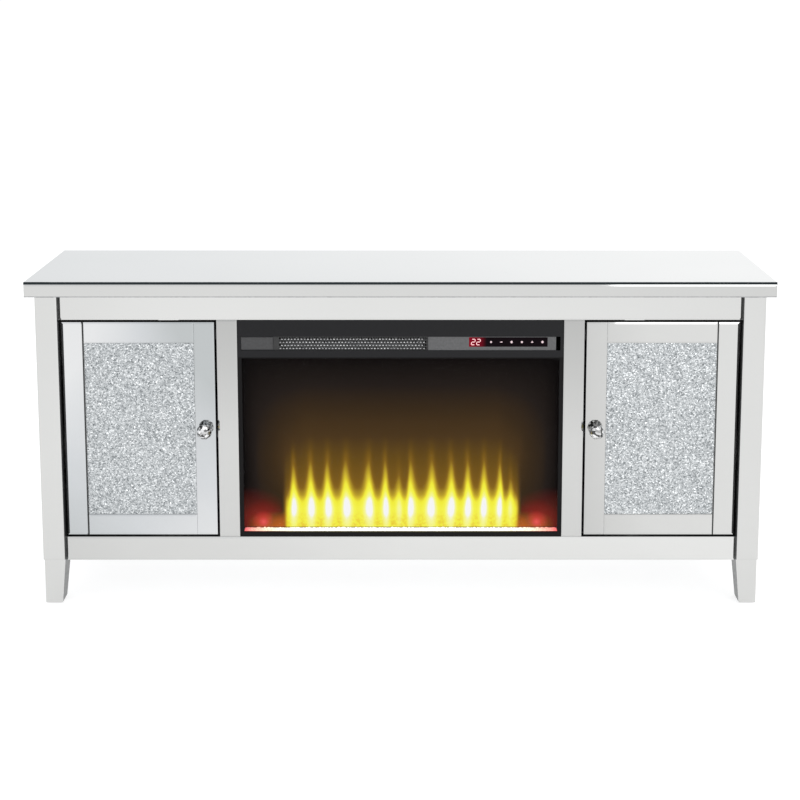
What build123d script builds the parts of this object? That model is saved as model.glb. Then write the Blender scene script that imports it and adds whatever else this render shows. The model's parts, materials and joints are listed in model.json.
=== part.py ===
"""Mirrored media console with an electric fireplace insert between two cabinets.

Millimetres, +Z up, front towards -Y, origin on the floor under the middle.
"""
import os

from build123d import *

os.makedirs("parts", exist_ok=True)

# ---- Overall ----
width = 1500.0
depth = 405.0
height = 677.0

# ---- Mirrors ----
mirror_glass = 4.0
mirror_seam = 0.4
bevel_width = 3.5
bevel_depth = 1.0

# ---- Table top ----
top_glass = 5.0
top_core = 26.0
top_overhang = 17.0
back_overhang = 5.0

# ---- Posts and feet ----
post_width = 44.0
front_post_depth = 65.0
rear_post_depth = 50.0
foot_height = 95.0
foot_step = 2.0
foot_taper_x = 8.0
foot_taper_y = 15.0
glide_radius = 11.0
glide_height = 3.0

# ---- Face frame ----
post_reveal = 17.0
frame_board = 18.0
top_rail_height = 52.5
bottom_rail_height = 49.5
bottom_rail_lift = 89.0
stile_width = 41.0
hearth_width = 661.0

# ---- Carcass ----
panel_board = 15.0
side_reveal = 8.0
divider_board = 18.0
divider_set = 3.5
back_board = 3.0
rear_rail_board = 18.0
upper_rear_rail_height = 60.0
lower_rear_rail_height = 40.0
cable_hole_radius = 30.0
strap_hole_radius = 2.25
strap_hole_spacing = 32.0
hinge_rail_end = 60.0
shelf_lift = 201.5
shelf_gap = 0.5
shelf_front_clear = 1.8
shelf_back_set = 4.5
peg_radius = 2.5
peg_fit = 0.05
peg_hole_depth = 9.0
peg_stick_out = 8.0
peg_set = 40.0
peg_rows = 3
peg_row_pitch = 48.0

# ---- Doors ----
door_gap = 5.0
hinge_gap = 5.0
door_core = 18.0
door_stile = 41.0
hinge_stile = 43.5
door_rail = 42.5
crystal_thickness = 2.5
crystal_gap = 1.0
knob_inset = 21.5
knob_base_radius = 9.0
knob_base_length = 2.5
knob_stem_radius = 4.5
knob_stem_length = 8.0
knob_crystal_radius = 15.5
knob_crystal_length = 21.0
knob_facets = 12
knob_rings = ((0.0, 0.5), (0.35, 1.0), (0.6, 1.0), (1.0, 0.55))  # shares of length and radius

# ---- Hinges and catches ----
pivot_inset = 14.0
pivot_lift = 4.0
hinge_end = 80.0
cup_inset = 22.5
cup_radius = 17.5
cup_depth = 13.0
cup_wall = 0.8
cup_fit = 0.1
flange_thickness = 1.2
flange_radius = 19.0
flange_length = 62.0
flange_width = 22.0
hinge_pin_radius = 1.5
running_fit = 0.05
knuckle_radius = 2.8
arm_thickness = 2.5
arm_width = 10.0
arm_neck = 16.0
arm_slope = 2.0
arm_clear = 9.5
arm_bend = 4.0
arm_length = 64.0
plate_thickness = 2.5
plate_start = 22.0
plate_width = 32.0
screw_head_radius = 3.5
screw_head_height = 1.6
catch_length = 40.0
catch_depth = 18.0
catch_height = 20.0
catch_drop = 30.0
catch_gap = 0.3
strike_width = 12.0
strike_height = 16.0
strike_thickness = 1.2

# ---- Insert: front ----
bezel_gap = 0.5
bezel_set = 2.5
bezel_thickness = 3.0
bezel_border = 8.0
top_band = 34.0
channel_height = 28.5
lower_band = 16.5
bottom_lip = 9.0
channel_border = 6.5
plate_lap = 4.0
front_plate_thickness = 1.5
grille_field_start = 77.0
grille_field_end = 2.0
grille_slot = 3.2
grille_bar = 1.8
grille_slot_height = 4.2
grille_rows = 4
control_plate_length = 259.0
control_end_gap = 9.0
control_raise = 2.0
display_length = 159.0
display_inset = 17.0
display_height = 19.5
display_thickness = 1.5
front_glass_thickness = 4.0
glass_lap = 2.5

# ---- Insert: casing ----
casing_clearance = 4.5
casing_depth = 188.0
sheet = 1.0
sheet_seam = 0.1
deck_drop = 70.0
tray_depth = 30.0
tray_height = 7.5
tray_wall = 2.0
ember_recess = 4.0
screen_thickness = 3.0
intake_slots = 14
intake_slot_width = 12.0
intake_slot_height = 4.0
intake_pitch = 20.0
intake_rows = 4

# ---- Insert: flame drive ----
spindle_set = 40.0
spindle_lift = 36.0
spindle_radius = 22.0
spindle_shaft_radius = 4.0
journal_radius = 2.5
blade_thickness = 0.8
blade_pitch = 20.0
blade_step_degrees = 50.0
spindle_motor_radius = 22.0
spindle_motor_length = 20.0
bearing_size = 16.0
bearing_length = 10.0
led_board_width = 10.0
led_board_thickness = 1.6

# ---- Insert: heater ----
impeller_radius = 23.0
impeller_length = 280.0
impeller_blades = 20
impeller_blade_depth = 5.0
impeller_blade_angle = 35.0
impeller_lift = 32.0
impeller_set = 60.0
housing_gap = 3.0
housing_wall = 1.0
housing_side_gap = 1.0
blower_motor_radius = 21.0
blower_motor_length = 42.0
heater_height = 40.0
heater_thickness = 14.0
heater_slots = 18
heater_slot_width = 12.0
heater_set = 14.0
board_thickness = 1.6
board_stand_off = 2.5
stand_off_radius = 2.5

# ---- Insert: rear fittings ----
rocker_half_width = 5.5
rocker_half_height = 11.4
rocker_throw = 7.0
rocker_sink = 3.0
rocker_waist = 3.0
rocker_rise = 5.5
rocker_wall = 1.2
rocker_clear_x = 0.3
rocker_clear_z = 1.0
rocker_flange = 2.0
rocker_flange_lip = 2.0
rocker_depth = 12.0
rocker_inset_x = 60.0
rocker_drop = 50.0
gland_inset_x = 40.0
gland_lift = 28.0
gland_radius = 8.0
gland_bore = 3.6
gland_length = 3.0

# ---- Places worked out from the sizes above ----
table_front = -depth / 2
table_back = depth / 2
core_top = height - top_glass
core_bottom = core_top - top_core
post_outer = width / 2 - top_overhang
post_inner = post_outer - post_width
post_front = table_front + top_overhang
post_back = post_front + front_post_depth
body_back = table_back - back_overhang
rear_post_front = body_back - rear_post_depth
face = post_front + post_reveal
board_face = face + mirror_glass
board_back = board_face + frame_board
bottom_rail_top = bottom_rail_lift + bottom_rail_height
top_rail_bottom = core_bottom - top_rail_height
side_outer = post_outer - side_reveal
side_board_outer = side_outer - mirror_glass
side_inner = side_board_outer - panel_board
hearth_half = hearth_width / 2
stile_outer = hearth_half + stile_width
divider_inner = hearth_half + divider_set
divider_outer = divider_inner + divider_board
back_face = body_back - back_board
door_low_x = stile_outer + door_gap
door_high_x = post_inner - hinge_gap
door_bottom = bottom_rail_top + door_gap
door_top = top_rail_bottom - door_gap
door_back = board_face + door_core
door_middle_z = (door_bottom + door_top) / 2
pivot_x = door_high_x - pivot_inset
pivot_y = door_back - cup_depth + pivot_lift
door_corner_swing = (pivot_inset ** 2 + (door_back - pivot_y) ** 2) ** 0.5
hinge_heights = (door_bottom + hinge_end, door_top - hinge_end)
shelf_bottom = bottom_rail_top + shelf_lift
shelf_top = shelf_bottom + panel_board


def span(x_low, x_high, y_low, y_high, mode=Mode.ADD):
    """Draw a rectangle between two corners in the open sketch."""
    with Locations(((x_low + x_high) / 2, (y_low + y_high) / 2)):
        Rectangle(abs(x_high - x_low), abs(y_high - y_low), mode=mode)


def front_plane(y):
    """An upright plane at depth y that faces the front, local x to the right and local y up."""
    return Plane.XZ.offset(-y)


def side_plane(x):
    """An upright plane at x that faces +X, local x to the back and local y up."""
    return Plane.YZ.offset(x)


def level(z):
    """A level plane at height z."""
    return Plane.XY.offset(z)


def save(name, piece):
    """Label a finished piece and write it."""
    piece.part.label = name
    export_step(piece.part, f"parts/{name}.step")


def mirror_strip(plane, x_low, x_high, z_low, z_high):
    """A mirror strip with its back on the plane and its front edges bevelled."""
    with BuildPart() as strip:
        with BuildSketch(plane):
            span(x_low, x_high, z_low, z_high)
        extrude(amount=mirror_glass)
        shown = strip.faces().sort_by(Axis(plane.origin, plane.z_dir))[-1]
        chamfer(shown.edges(), length=bevel_width, length2=bevel_depth, reference=shown)
    return strip.part


def group(strips, copy_left=True):
    """Join loose strips into one piece, with a mirrored set on the left side."""
    with BuildPart() as joined:
        add(strips)
        if copy_left:
            mirror(about=Plane.YZ)
    return joined


def board_pair(x_low, x_high, y_low, y_high, z_low, z_high):
    """A board on the right and its mirrored twin on the left."""
    with BuildPart() as pair:
        with BuildSketch(level(z_low)):
            span(x_low, x_high, y_low, y_high)
        extrude(amount=z_high - z_low)
        mirror(about=Plane.YZ)
    return pair


# ---- Table top ----
with BuildPart() as top_board:
    with BuildSketch(level(core_bottom)):
        span(-width / 2 + mirror_glass, width / 2 - mirror_glass, table_front + mirror_glass, table_back)
    extrude(amount=top_core)
save("top_board", top_board)

with BuildPart() as top_mirror:
    with BuildSketch(level(core_top)):
        Rectangle(width, depth)
    extrude(amount=top_glass)
    chamfer(top_mirror.faces().sort_by(Axis.Z)[-1].edges(), length=bevel_depth)
save("top_mirror", top_mirror)

edge_strips = [
    mirror_strip(front_plane(table_front + mirror_glass), -width / 2, width / 2, core_bottom, core_top),
    mirror_strip(side_plane(width / 2 - mirror_glass), table_front + mirror_glass + mirror_seam,
                 table_back, core_bottom, core_top),
]
edge_strips.append(mirror(edge_strips[1], about=Plane.YZ))
top_edge_mirrors = group(edge_strips, copy_left=False)
save("top_edge_mirrors", top_edge_mirrors)

# ---- Posts with tapered feet ----
foot_outer = post_outer - foot_step
foot_front = post_front + foot_step


def leg_pair(y_front, y_back, foot_y_top, foot_y_bottom):
    """Two posts with tapered feet: the cores that the mirror facings are glued to."""
    core_outer = foot_outer - mirror_glass
    with BuildPart() as legs:
        with BuildSketch(level(foot_height)):
            span(post_inner, post_outer - mirror_glass, y_front, y_back)
        extrude(amount=core_bottom - foot_height)
        with BuildSketch(level(foot_height)):
            span(post_inner, core_outer, *foot_y_top)
        with BuildSketch(level(glide_height)):
            span(post_inner + foot_taper_x, core_outer, *foot_y_bottom)
        loft()
        mirror(about=Plane.YZ)
    return legs


front_foot_top = (foot_front + mirror_glass, post_back)
front_foot_bottom = (foot_front + mirror_glass, post_back - foot_taper_y)
rear_foot_top = (rear_post_front, body_back)
rear_foot_bottom = (rear_post_front + foot_taper_y, body_back)
front_legs = leg_pair(post_front + mirror_glass, post_back, front_foot_top, front_foot_bottom)
rear_legs = leg_pair(rear_post_front, body_back, rear_foot_top, rear_foot_bottom)
save("front_legs", front_legs)
save("rear_legs", rear_legs)

post_strips = [
    mirror_strip(front_plane(post_front + mirror_glass), post_inner, post_outer, foot_height, core_bottom),
    mirror_strip(side_plane(post_outer - mirror_glass), post_front + mirror_glass + mirror_seam, post_back,
                 foot_height, core_bottom),
    mirror_strip(side_plane(post_outer - mirror_glass), rear_post_front, body_back,
                 foot_height, core_bottom),
]
leg_mirrors = group(post_strips)
save("leg_mirrors", leg_mirrors)

foot_top = foot_height - mirror_seam
with BuildPart() as foot_mirrors:
    with BuildSketch(front_plane(foot_front + mirror_glass)):
        Polygon((post_inner, foot_top), (foot_outer, foot_top), (foot_outer, glide_height),
                (post_inner + foot_taper_x, glide_height), align=None)
    extrude(amount=mirror_glass)
    for top_y, bottom_y in ((front_foot_top, front_foot_bottom), (rear_foot_top, rear_foot_bottom)):
        with BuildSketch(side_plane(foot_outer - mirror_glass)):
            Polygon((top_y[0] + mirror_seam, foot_top), (top_y[1], foot_top),
                    (bottom_y[1], glide_height), (bottom_y[0] + mirror_seam, glide_height), align=None)
        extrude(amount=mirror_glass)
    mirror(about=Plane.YZ)
save("foot_mirrors", foot_mirrors)

foot_middle_x = (post_inner + foot_taper_x + foot_outer - mirror_glass) / 2
front_glide_y, rear_glide_y = sum(front_foot_bottom) / 2, sum(rear_foot_bottom) / 2
with BuildPart() as foot_glides:
    with BuildSketch(Plane.XY):
        with Locations((foot_middle_x, front_glide_y), (foot_middle_x, rear_glide_y)):
            Circle(glide_radius)
    extrude(amount=glide_height)
    mirror(about=Plane.YZ)
save("foot_glides", foot_glides)

# ---- Face frame: rails and centre stiles ----
with BuildPart() as front_rails:
    for rail_low, rail_high in ((top_rail_bottom, core_bottom), (bottom_rail_lift, bottom_rail_top)):
        with BuildSketch(level(rail_low)):
            span(-post_inner, post_inner, board_face, board_back)
        extrude(amount=rail_high - rail_low)
save("front_rails", front_rails)

centre_stiles = board_pair(hearth_half, stile_outer, board_face, board_back, bottom_rail_top, top_rail_bottom)
save("centre_stiles", centre_stiles)

frame_strips = [
    mirror_strip(front_plane(board_face), -post_inner, post_inner, top_rail_bottom, core_bottom),
    mirror_strip(front_plane(board_face), -post_inner, post_inner, bottom_rail_lift, bottom_rail_top),
    mirror_strip(front_plane(board_face), hearth_half, stile_outer,
                 bottom_rail_top + mirror_seam, top_rail_bottom - mirror_seam),
]
frame_strips.append(mirror(frame_strips[2], about=Plane.YZ))
frame_mirrors = group(frame_strips, copy_left=False)
save("frame_mirrors", frame_mirrors)

# ---- Carcass: sides, bottom, dividers, backs ----
side_panels = board_pair(side_inner, side_board_outer, post_back, rear_post_front,
                         bottom_rail_lift, core_bottom)
save("side_panels", side_panels)

side_mirrors = group([mirror_strip(side_plane(side_board_outer), post_back + mirror_seam,
                                   rear_post_front - mirror_seam, bottom_rail_lift, core_bottom)])
save("side_mirrors", side_mirrors)

with BuildPart() as bottom_panel:
    with BuildSketch(level(bottom_rail_top - panel_board)):
        span(-side_inner, side_inner, board_back, back_face)
        for side in (1, -1):
            span(side * post_inner, side * side_inner, board_back, post_back, mode=Mode.SUBTRACT)
            span(side * post_inner, side * side_inner, rear_post_front, back_face, mode=Mode.SUBTRACT)
    extrude(amount=panel_board)
save("bottom_panel", bottom_panel)

peg_z = shelf_bottom - peg_radius - 2 * peg_fit
peg_ys = (post_back + hinge_rail_end + peg_set, rear_post_front - peg_set)
peg_places = [(y, peg_z + row * peg_row_pitch) for y in peg_ys for row in range(-1, peg_rows - 1)]
with BuildPart() as dividers:
    with BuildSketch(level(bottom_rail_top)):
        span(divider_inner, divider_outer, board_back, back_face)
    extrude(amount=core_bottom - bottom_rail_top)
    with BuildSketch(side_plane(divider_outer)):
        with Locations(*peg_places):
            Circle(peg_radius + peg_fit)
    extrude(amount=-peg_hole_depth, mode=Mode.SUBTRACT)
    mirror(about=Plane.YZ)
save("dividers", dividers)

upper_hole_z = (shelf_top + core_bottom) / 2
lower_hole_z = (bottom_rail_top + shelf_bottom) / 2
bay_middle = (divider_outer + post_inner) / 2
with BuildPart() as back_panels:
    with BuildSketch(front_plane(body_back)):
        span(divider_inner, post_inner, bottom_rail_top - panel_board, core_bottom)
        with Locations((bay_middle, upper_hole_z), (bay_middle, lower_hole_z)):
            Circle(cable_hole_radius, mode=Mode.SUBTRACT)
    extrude(amount=back_board)
    mirror(about=Plane.YZ)
save("back_panels", back_panels)

strap_z = core_bottom - upper_rear_rail_height / 2
with BuildPart() as rear_rails:
    with BuildSketch(front_plane(body_back)):
        span(-divider_inner, divider_inner, core_bottom - upper_rear_rail_height, core_bottom)
        span(-divider_inner, divider_inner, bottom_rail_top, bottom_rail_top + lower_rear_rail_height)
        with Locations((-strap_hole_spacing / 2, strap_z), (strap_hole_spacing / 2, strap_z)):
            Circle(strap_hole_radius, mode=Mode.SUBTRACT)
    extrude(amount=rear_rail_board)
save("rear_rails", rear_rails)

hinge_rails = board_pair(post_inner, side_inner, post_back, post_back + hinge_rail_end,
                         bottom_rail_top, core_bottom)
save("hinge_rails", hinge_rails)

# ---- Shelves on pegs ----
with BuildPart() as shelves:
    with BuildSketch(level(shelf_bottom)):
        shelf_front = pivot_y + door_corner_swing + shelf_front_clear
        span(divider_outer + shelf_gap, side_inner - shelf_gap, shelf_front, back_face - shelf_back_set)
        notch_x = post_inner - shelf_gap
        span(notch_x, side_inner, board_back, post_back + hinge_rail_end + shelf_gap, mode=Mode.SUBTRACT)
        span(notch_x, side_inner, rear_post_front - shelf_gap, back_face, mode=Mode.SUBTRACT)
    extrude(amount=panel_board)
    mirror(about=Plane.YZ)
save("shelves", shelves)

with BuildPart() as shelf_pegs:
    for start_x, length in ((divider_outer - peg_hole_depth, peg_hole_depth + peg_stick_out),
                            (side_inner, -peg_stick_out)):
        with BuildSketch(side_plane(start_x)):
            with Locations(*[(y, peg_z) for y in peg_ys]):
                Circle(peg_radius)
        extrude(amount=length)
    mirror(about=Plane.YZ)
save("shelf_pegs", shelf_pegs)

# ---- Hinge arms on the cabinet, cups and pins on the doors ----
wall_x = post_inner - pivot_x


def arm_profile():
    """The swan-neck arm seen from above, from its knuckle on the pin to the plate on the wall."""
    plate_x = wall_x - plate_thickness - arm_thickness / 2
    crossing = door_back + arm_clear - pivot_y
    route = [(0, 0), (-arm_neck, arm_slope), (-arm_neck, crossing),
             (plate_x, crossing), (plate_x, arm_length)]
    return [(pivot_x + x, pivot_y + y) for x, y in route]


with BuildPart() as hinge_arms:
    for height_z in hinge_heights:
        with BuildSketch(level(height_z - arm_width / 2)):
            with BuildLine():
                FilletPolyline(*arm_profile(), radius=arm_bend)
            trace(line_width=arm_thickness)
            with Locations((pivot_x, pivot_y)):
                Circle(knuckle_radius)
                Circle(hinge_pin_radius + running_fit, mode=Mode.SUBTRACT)
        extrude(amount=arm_width)
        with BuildSketch(level(height_z - plate_width / 2)):
            span(post_inner - plate_thickness, post_inner, pivot_y + plate_start, pivot_y + arm_length)
        extrude(amount=plate_width)
    mirror(about=Plane.YZ)
save("hinge_arms", hinge_arms)

catch_z = door_top - catch_drop
with BuildPart() as magnetic_catches:
    with BuildSketch(level(catch_z - catch_height / 2)):
        catch_front = door_back + strike_thickness + catch_gap
        span(divider_outer, divider_outer + catch_length, catch_front, catch_front + catch_depth)
    extrude(amount=catch_height)
    mirror(about=Plane.YZ)
save("magnetic_catches", magnetic_catches)

cup_x = door_high_x - cup_inset
knob_x = door_low_x + knob_inset
knob_z = door_middle_z
for side, name in ((1, "right"), (-1, "left")):
    with BuildPart() as door_panel:
        with BuildSketch(front_plane(door_back)):
            span(side * door_low_x, side * door_high_x, door_bottom, door_top)
        extrude(amount=door_core)
        with BuildSketch(front_plane(door_back)):
            with Locations(*[(side * cup_x, z) for z in hinge_heights]):
                Circle(cup_radius + cup_fit)
        extrude(amount=cup_depth, mode=Mode.SUBTRACT)
    save(f"{name}_door_panel", door_panel)

    rail_start, rail_end = sorted((side * (door_low_x + door_stile), side * (door_high_x - hinge_stile)))
    low_x, high_x = sorted((side * door_low_x, side * door_high_x))
    door_strips = [
        mirror_strip(front_plane(board_face), low_x, rail_start, door_bottom, door_top),
        mirror_strip(front_plane(board_face), rail_end, high_x, door_bottom, door_top),
    ]
    for rail_low in (door_bottom, door_top - door_rail):
        door_strips.append(mirror_strip(front_plane(board_face), rail_start + mirror_seam,
                                        rail_end - mirror_seam, rail_low, rail_low + door_rail))
    save(f"{name}_door_mirrors", group(door_strips, copy_left=False))

    with BuildPart() as crystal_panel:
        with BuildSketch(front_plane(board_face)):
            span(rail_start + crystal_gap, rail_end - crystal_gap,
                 door_bottom + door_rail + crystal_gap, door_top - door_rail - crystal_gap)
        extrude(amount=crystal_thickness)
    save(f"{name}_crystal_panel", crystal_panel)

    with BuildPart() as hinge_cups:
        for height_z in hinge_heights:
            with BuildSketch(front_plane(door_back)):
                with Locations((side * cup_x, height_z)):
                    Circle(cup_radius)
            extrude(amount=cup_depth)
            with BuildSketch(front_plane(door_back + flange_thickness)):
                with Locations((side * cup_x, height_z)):
                    Circle(flange_radius)
                    Rectangle(flange_width, flange_length)
            extrude(amount=flange_thickness)
            with BuildSketch(front_plane(door_back + flange_thickness)):
                with Locations((side * cup_x, height_z)):
                    Circle(cup_radius - cup_wall)
            extrude(amount=cup_depth + flange_thickness - cup_wall, mode=Mode.SUBTRACT)
            pin_edge = cup_inset - pivot_inset + hinge_pin_radius
            pin_reach = (cup_radius ** 2 - pin_edge ** 2) ** 0.5
            with BuildSketch(level(height_z - pin_reach)):
                with Locations((side * pivot_x, pivot_y)):
                    Circle(hinge_pin_radius)
            extrude(amount=2 * pin_reach)
            with BuildSketch(front_plane(door_back + flange_thickness)):
                screw_z = flange_length / 2 - 2 * screw_head_radius
                with Locations((side * cup_x, height_z - screw_z), (side * cup_x, height_z + screw_z)):
                    Circle(screw_head_radius)
            extrude(amount=-screw_head_height)
    save(f"{name}_hinge_cups", hinge_cups)

    with BuildPart() as strike_plate:
        strike_x = side * (divider_outer + catch_length - strike_width / 2)
        with BuildSketch(front_plane(door_back + strike_thickness)):
            with Locations((strike_x, catch_z)):
                Rectangle(strike_width, strike_height)
        extrude(amount=strike_thickness)
    save(f"{name}_strike_plate", strike_plate)

    with BuildPart() as knob_base:
        with BuildSketch(front_plane(face)):
            with Locations((side * knob_x, knob_z)):
                Circle(knob_base_radius)
        extrude(amount=knob_base_length)
        with BuildSketch(front_plane(face - knob_base_length)):
            with Locations((side * knob_x, knob_z)):
                Circle(knob_stem_radius)
        extrude(amount=knob_stem_length)
    save(f"{name}_knob_base", knob_base)

    knob_back = face - knob_base_length - knob_stem_length
    with BuildPart() as knob_crystal:
        for set_out, share in knob_rings:
            with BuildSketch(front_plane(knob_back - set_out * knob_crystal_length)):
                with Locations((side * knob_x, knob_z)):
                    RegularPolygon(share * knob_crystal_radius, knob_facets)
        loft(ruled=True)
    save(f"{name}_knob_crystal", knob_crystal)

# ---- Insert: bezel, grille, control plate ----
bezel_half = hearth_half - bezel_gap
bezel_bottom = bottom_rail_top + bezel_gap
bezel_top = top_rail_bottom - 2 * bezel_gap
bezel_front = face + bezel_set
bezel_back = bezel_front + bezel_thickness
channel_top = bezel_top - top_band
channel_bottom = channel_top - channel_height
window_top = channel_bottom - lower_band
window_bottom = bezel_bottom + bottom_lip
window_half = bezel_half - bezel_border
channel_half = bezel_half - channel_border
with BuildPart() as insert_bezel:
    with BuildSketch(front_plane(bezel_back)):
        span(-bezel_half, bezel_half, bezel_bottom, bezel_top)
        span(-window_half, window_half, window_bottom, window_top, mode=Mode.SUBTRACT)
        span(-channel_half, channel_half, channel_bottom, channel_top, mode=Mode.SUBTRACT)
    extrude(amount=bezel_thickness)
save("insert_bezel", insert_bezel)

plate_back = bezel_back + front_plate_thickness
slot_pitch = grille_slot + grille_bar
control_end = channel_half - control_end_gap
grille_end = control_end - control_plate_length
grille_field_length = grille_end - grille_field_end - grille_field_start + channel_half
field_middle = -channel_half + grille_field_start + grille_field_length / 2
row_pitch = (channel_height - grille_bar) / grille_rows
channel_middle = (channel_bottom + channel_top) / 2
with BuildPart() as outlet_grille:
    with BuildSketch(front_plane(plate_back)):
        span(-channel_half, grille_end, channel_bottom - plate_lap, channel_top + plate_lap)
        with Locations((field_middle, channel_middle)):
            with GridLocations(slot_pitch, row_pitch, int(grille_field_length / slot_pitch), grille_rows):
                Rectangle(grille_slot, grille_slot_height, mode=Mode.SUBTRACT)
    extrude(amount=front_plate_thickness)
save("outlet_grille", outlet_grille)

display_low = control_end - display_inset - display_length
display_top = channel_top - display_thickness
with BuildPart() as control_plate:
    with BuildSketch(front_plane(plate_back)):
        span(grille_end + bezel_gap, control_end, channel_bottom - plate_lap, channel_top + plate_lap)
    extrude(amount=front_plate_thickness)
    with BuildSketch(front_plane(bezel_back)):
        span(grille_end + bezel_gap, control_end, channel_bottom + bezel_gap, channel_top - bezel_gap)
    extrude(amount=control_raise)
    with BuildSketch(front_plane(bezel_back - control_raise)):
        span(display_low, display_low + display_length, display_top - display_height, display_top)
    extrude(amount=-display_thickness, mode=Mode.SUBTRACT)
    with BuildSketch(front_plane(plate_back)):
        with Locations(((grille_end + control_end) / 2, channel_middle)):
            with GridLocations(control_plate_length / 2, channel_height / 2, 2, 2):
                Circle(stand_off_radius)
    extrude(amount=-board_stand_off)
save("control_plate", control_plate)

with BuildPart() as display_window:
    with BuildSketch(front_plane(bezel_back - control_raise + display_thickness)):
        span(display_low, display_low + display_length, display_top - display_height, display_top)
    extrude(amount=display_thickness)
save("display_window", display_window)

control_board_back = plate_back + board_stand_off + board_thickness
with BuildPart() as control_board:
    with BuildSketch(front_plane(control_board_back)):
        span(grille_end + plate_lap, control_end - plate_lap, channel_bottom, channel_top)
    extrude(amount=board_thickness)
save("control_board", control_board)

with BuildPart() as front_glass:
    with BuildSketch(front_plane(bezel_back + front_glass_thickness)):
        span(-window_half - glass_lap, window_half + glass_lap,
             window_bottom - glass_lap, window_top + glass_lap)
    extrude(amount=front_glass_thickness)
save("front_glass", front_glass)

# ---- Insert: casing of separate folded sheets ----
casing_half = hearth_half - casing_clearance
casing_bottom = bottom_rail_top
casing_top = bezel_top - bezel_gap
casing_back = bezel_back + casing_depth
inner_half = casing_half - sheet
deck_z = casing_top - deck_drop
tray_front = bezel_back + front_glass_thickness + bezel_gap
tray_back = tray_front + tray_depth
screen_back = tray_back + bezel_gap + screen_thickness
floor_z = casing_bottom + sheet
with BuildPart() as insert_casing:
    for low_z in (casing_bottom, casing_top - sheet):
        with BuildSketch(level(low_z)):
            span(-inner_half + sheet_seam, inner_half - sheet_seam, bezel_back, casing_back)
        extrude(amount=sheet)
    with BuildSketch(level(casing_bottom)):
        for side in (1, -1):
            span(side * inner_half, side * casing_half, bezel_back, casing_back)
    extrude(amount=casing_top - casing_bottom)
save("insert_casing", insert_casing)

rocker_x = inner_half - rocker_inset_x
rocker_z = casing_top - rocker_drop
rocker_hole_x = rocker_half_width + rocker_clear_x + rocker_wall
rocker_hole_z = rocker_half_height + rocker_clear_z + rocker_wall
gland_x = inner_half - gland_inset_x
gland_z = floor_z + gland_lift
intake_z = deck_z + impeller_lift
with BuildPart() as insert_back_cover:
    with BuildSketch(front_plane(casing_back + sheet)):
        span(-casing_half, casing_half, casing_bottom, casing_top)
        with Locations((field_middle, intake_z)):
            with GridLocations(intake_pitch, 2 * intake_slot_height, intake_slots, intake_rows):
                Rectangle(intake_slot_width, intake_slot_height, mode=Mode.SUBTRACT)
        span(rocker_x - rocker_hole_x, rocker_x + rocker_hole_x, rocker_z - rocker_hole_z,
             rocker_z + rocker_hole_z, mode=Mode.SUBTRACT)
        with Locations((gland_x, gland_z)):
            Circle(gland_bore, mode=Mode.SUBTRACT)
    extrude(amount=sheet)
save("insert_back_cover", insert_back_cover)

with BuildPart() as heater_deck:
    with BuildSketch(level(deck_z)):
        span(-inner_half, inner_half, control_board_back + board_stand_off, casing_back)
    extrude(amount=sheet)
save("heater_deck", heater_deck)

# ---- Insert: flame box ----
with BuildPart() as flame_screen:
    with BuildSketch(front_plane(screen_back)):
        span(-inner_half, inner_half, floor_z, deck_z)
    extrude(amount=screen_thickness)
save("flame_screen", flame_screen)

with BuildPart() as ember_tray:
    with BuildSketch(level(floor_z)):
        span(-inner_half, inner_half, tray_front, tray_back)
    extrude(amount=tray_height)
    with BuildSketch(level(floor_z + tray_height)):
        span(-inner_half + tray_wall, inner_half - tray_wall, tray_front + tray_wall, tray_back - tray_wall)
    extrude(amount=-ember_recess, mode=Mode.SUBTRACT)
save("ember_tray", ember_tray)

with BuildPart() as ember_crystals:
    with BuildSketch(level(floor_z + tray_height - ember_recess)):
        span(-inner_half + tray_wall, inner_half - tray_wall, tray_front + tray_wall, tray_back - tray_wall)
    extrude(amount=ember_recess)
save("ember_crystals", ember_crystals)

spindle_y = screen_back + spindle_set
spindle_z = floor_z + spindle_lift
motor_face = inner_half - spindle_motor_length
spindle_end = motor_face - bezel_gap
bearing_face = -inner_half + bearing_length
journal_length = bearing_length - 2 * bezel_gap
with BuildPart() as flame_spindle:
    shaft_start = bearing_face + bezel_gap
    with BuildSketch(side_plane(shaft_start)):
        with Locations((spindle_y, spindle_z)):
            Circle(spindle_shaft_radius)
    extrude(amount=spindle_end - shaft_start)
    with BuildSketch(side_plane(shaft_start - journal_length)):
        with Locations((spindle_y, spindle_z)):
            Circle(journal_radius)
    extrude(amount=spindle_end - shaft_start + 2 * journal_length)
    blade_count = int((spindle_end - shaft_start) / blade_pitch) - 1
    for number in range(blade_count):
        blade_x = shaft_start + (number + 1) * blade_pitch
        with BuildSketch(side_plane(blade_x)):
            with Locations(Location((spindle_y, spindle_z), number * blade_step_degrees)):
                Rectangle(2 * spindle_radius, blade_thickness)
        extrude(amount=blade_pitch / 2)
save("flame_spindle", flame_spindle)

with BuildPart() as spindle_motor:
    with BuildSketch(side_plane(motor_face)):
        with Locations((spindle_y, spindle_z)):
            Circle(spindle_motor_radius)
            Circle(journal_radius + running_fit, mode=Mode.SUBTRACT)
    extrude(amount=spindle_motor_length)
save("spindle_motor", spindle_motor)

with BuildPart() as spindle_bearing:
    with BuildSketch(side_plane(-inner_half)):
        with Locations((spindle_y, spindle_z)):
            Rectangle(bearing_size, bearing_size)
            Circle(journal_radius + running_fit, mode=Mode.SUBTRACT)
    extrude(amount=bearing_length)
save("spindle_bearing", spindle_bearing)

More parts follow.
